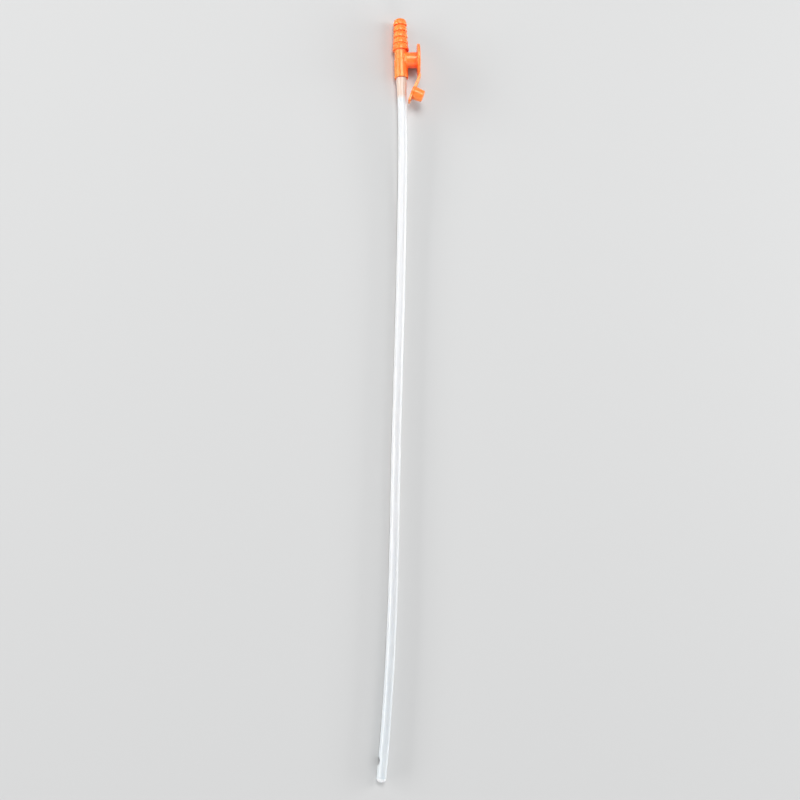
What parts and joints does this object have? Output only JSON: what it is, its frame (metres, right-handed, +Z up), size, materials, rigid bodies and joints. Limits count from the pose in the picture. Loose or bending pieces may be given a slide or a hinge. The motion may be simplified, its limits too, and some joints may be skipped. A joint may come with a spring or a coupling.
{
  "type": "suction catheter",
  "caption": "Soft clear suction tube with a rounded open tip and one side eye, on an orange barbed connector with a thumb port, round flange and tethered cap.",
  "frame": {"origin": "on the surface that it lies on, under the middle of the box that holds the whole object", "axes": "+Y along the connector's axis towards its barbed hose end, +Z up from the surface, +X the side that the side port points to, which is 23.0 degrees above level"},
  "size_m": [0.0386, 0.4356, 0.0177],
  "materials": {
    "clear_pvc": "soft frosted translucent PVC, faintly pink where the connector's spigot shows through",
    "orange_plastic": "satin moulded plastic, bright orange, softened edges"
  },
  "bodies": {
    "catheter": {"catheter_tube": "clear_pvc", "connector": "orange_plastic"},
    "cap": {"port_cap": "orange_plastic"}
  },
  "joints": [
    {"name": "cap_hinge", "type": "hinge", "parent": "catheter", "child": "cap", "pos_m": [0.01599, 0.18234, 0.00925], "axis": [-0.3902, 0, 0.9207], "range_deg": [0, 203.5], "stiffness_Nm_per_rad": 0.001}
  ]
}
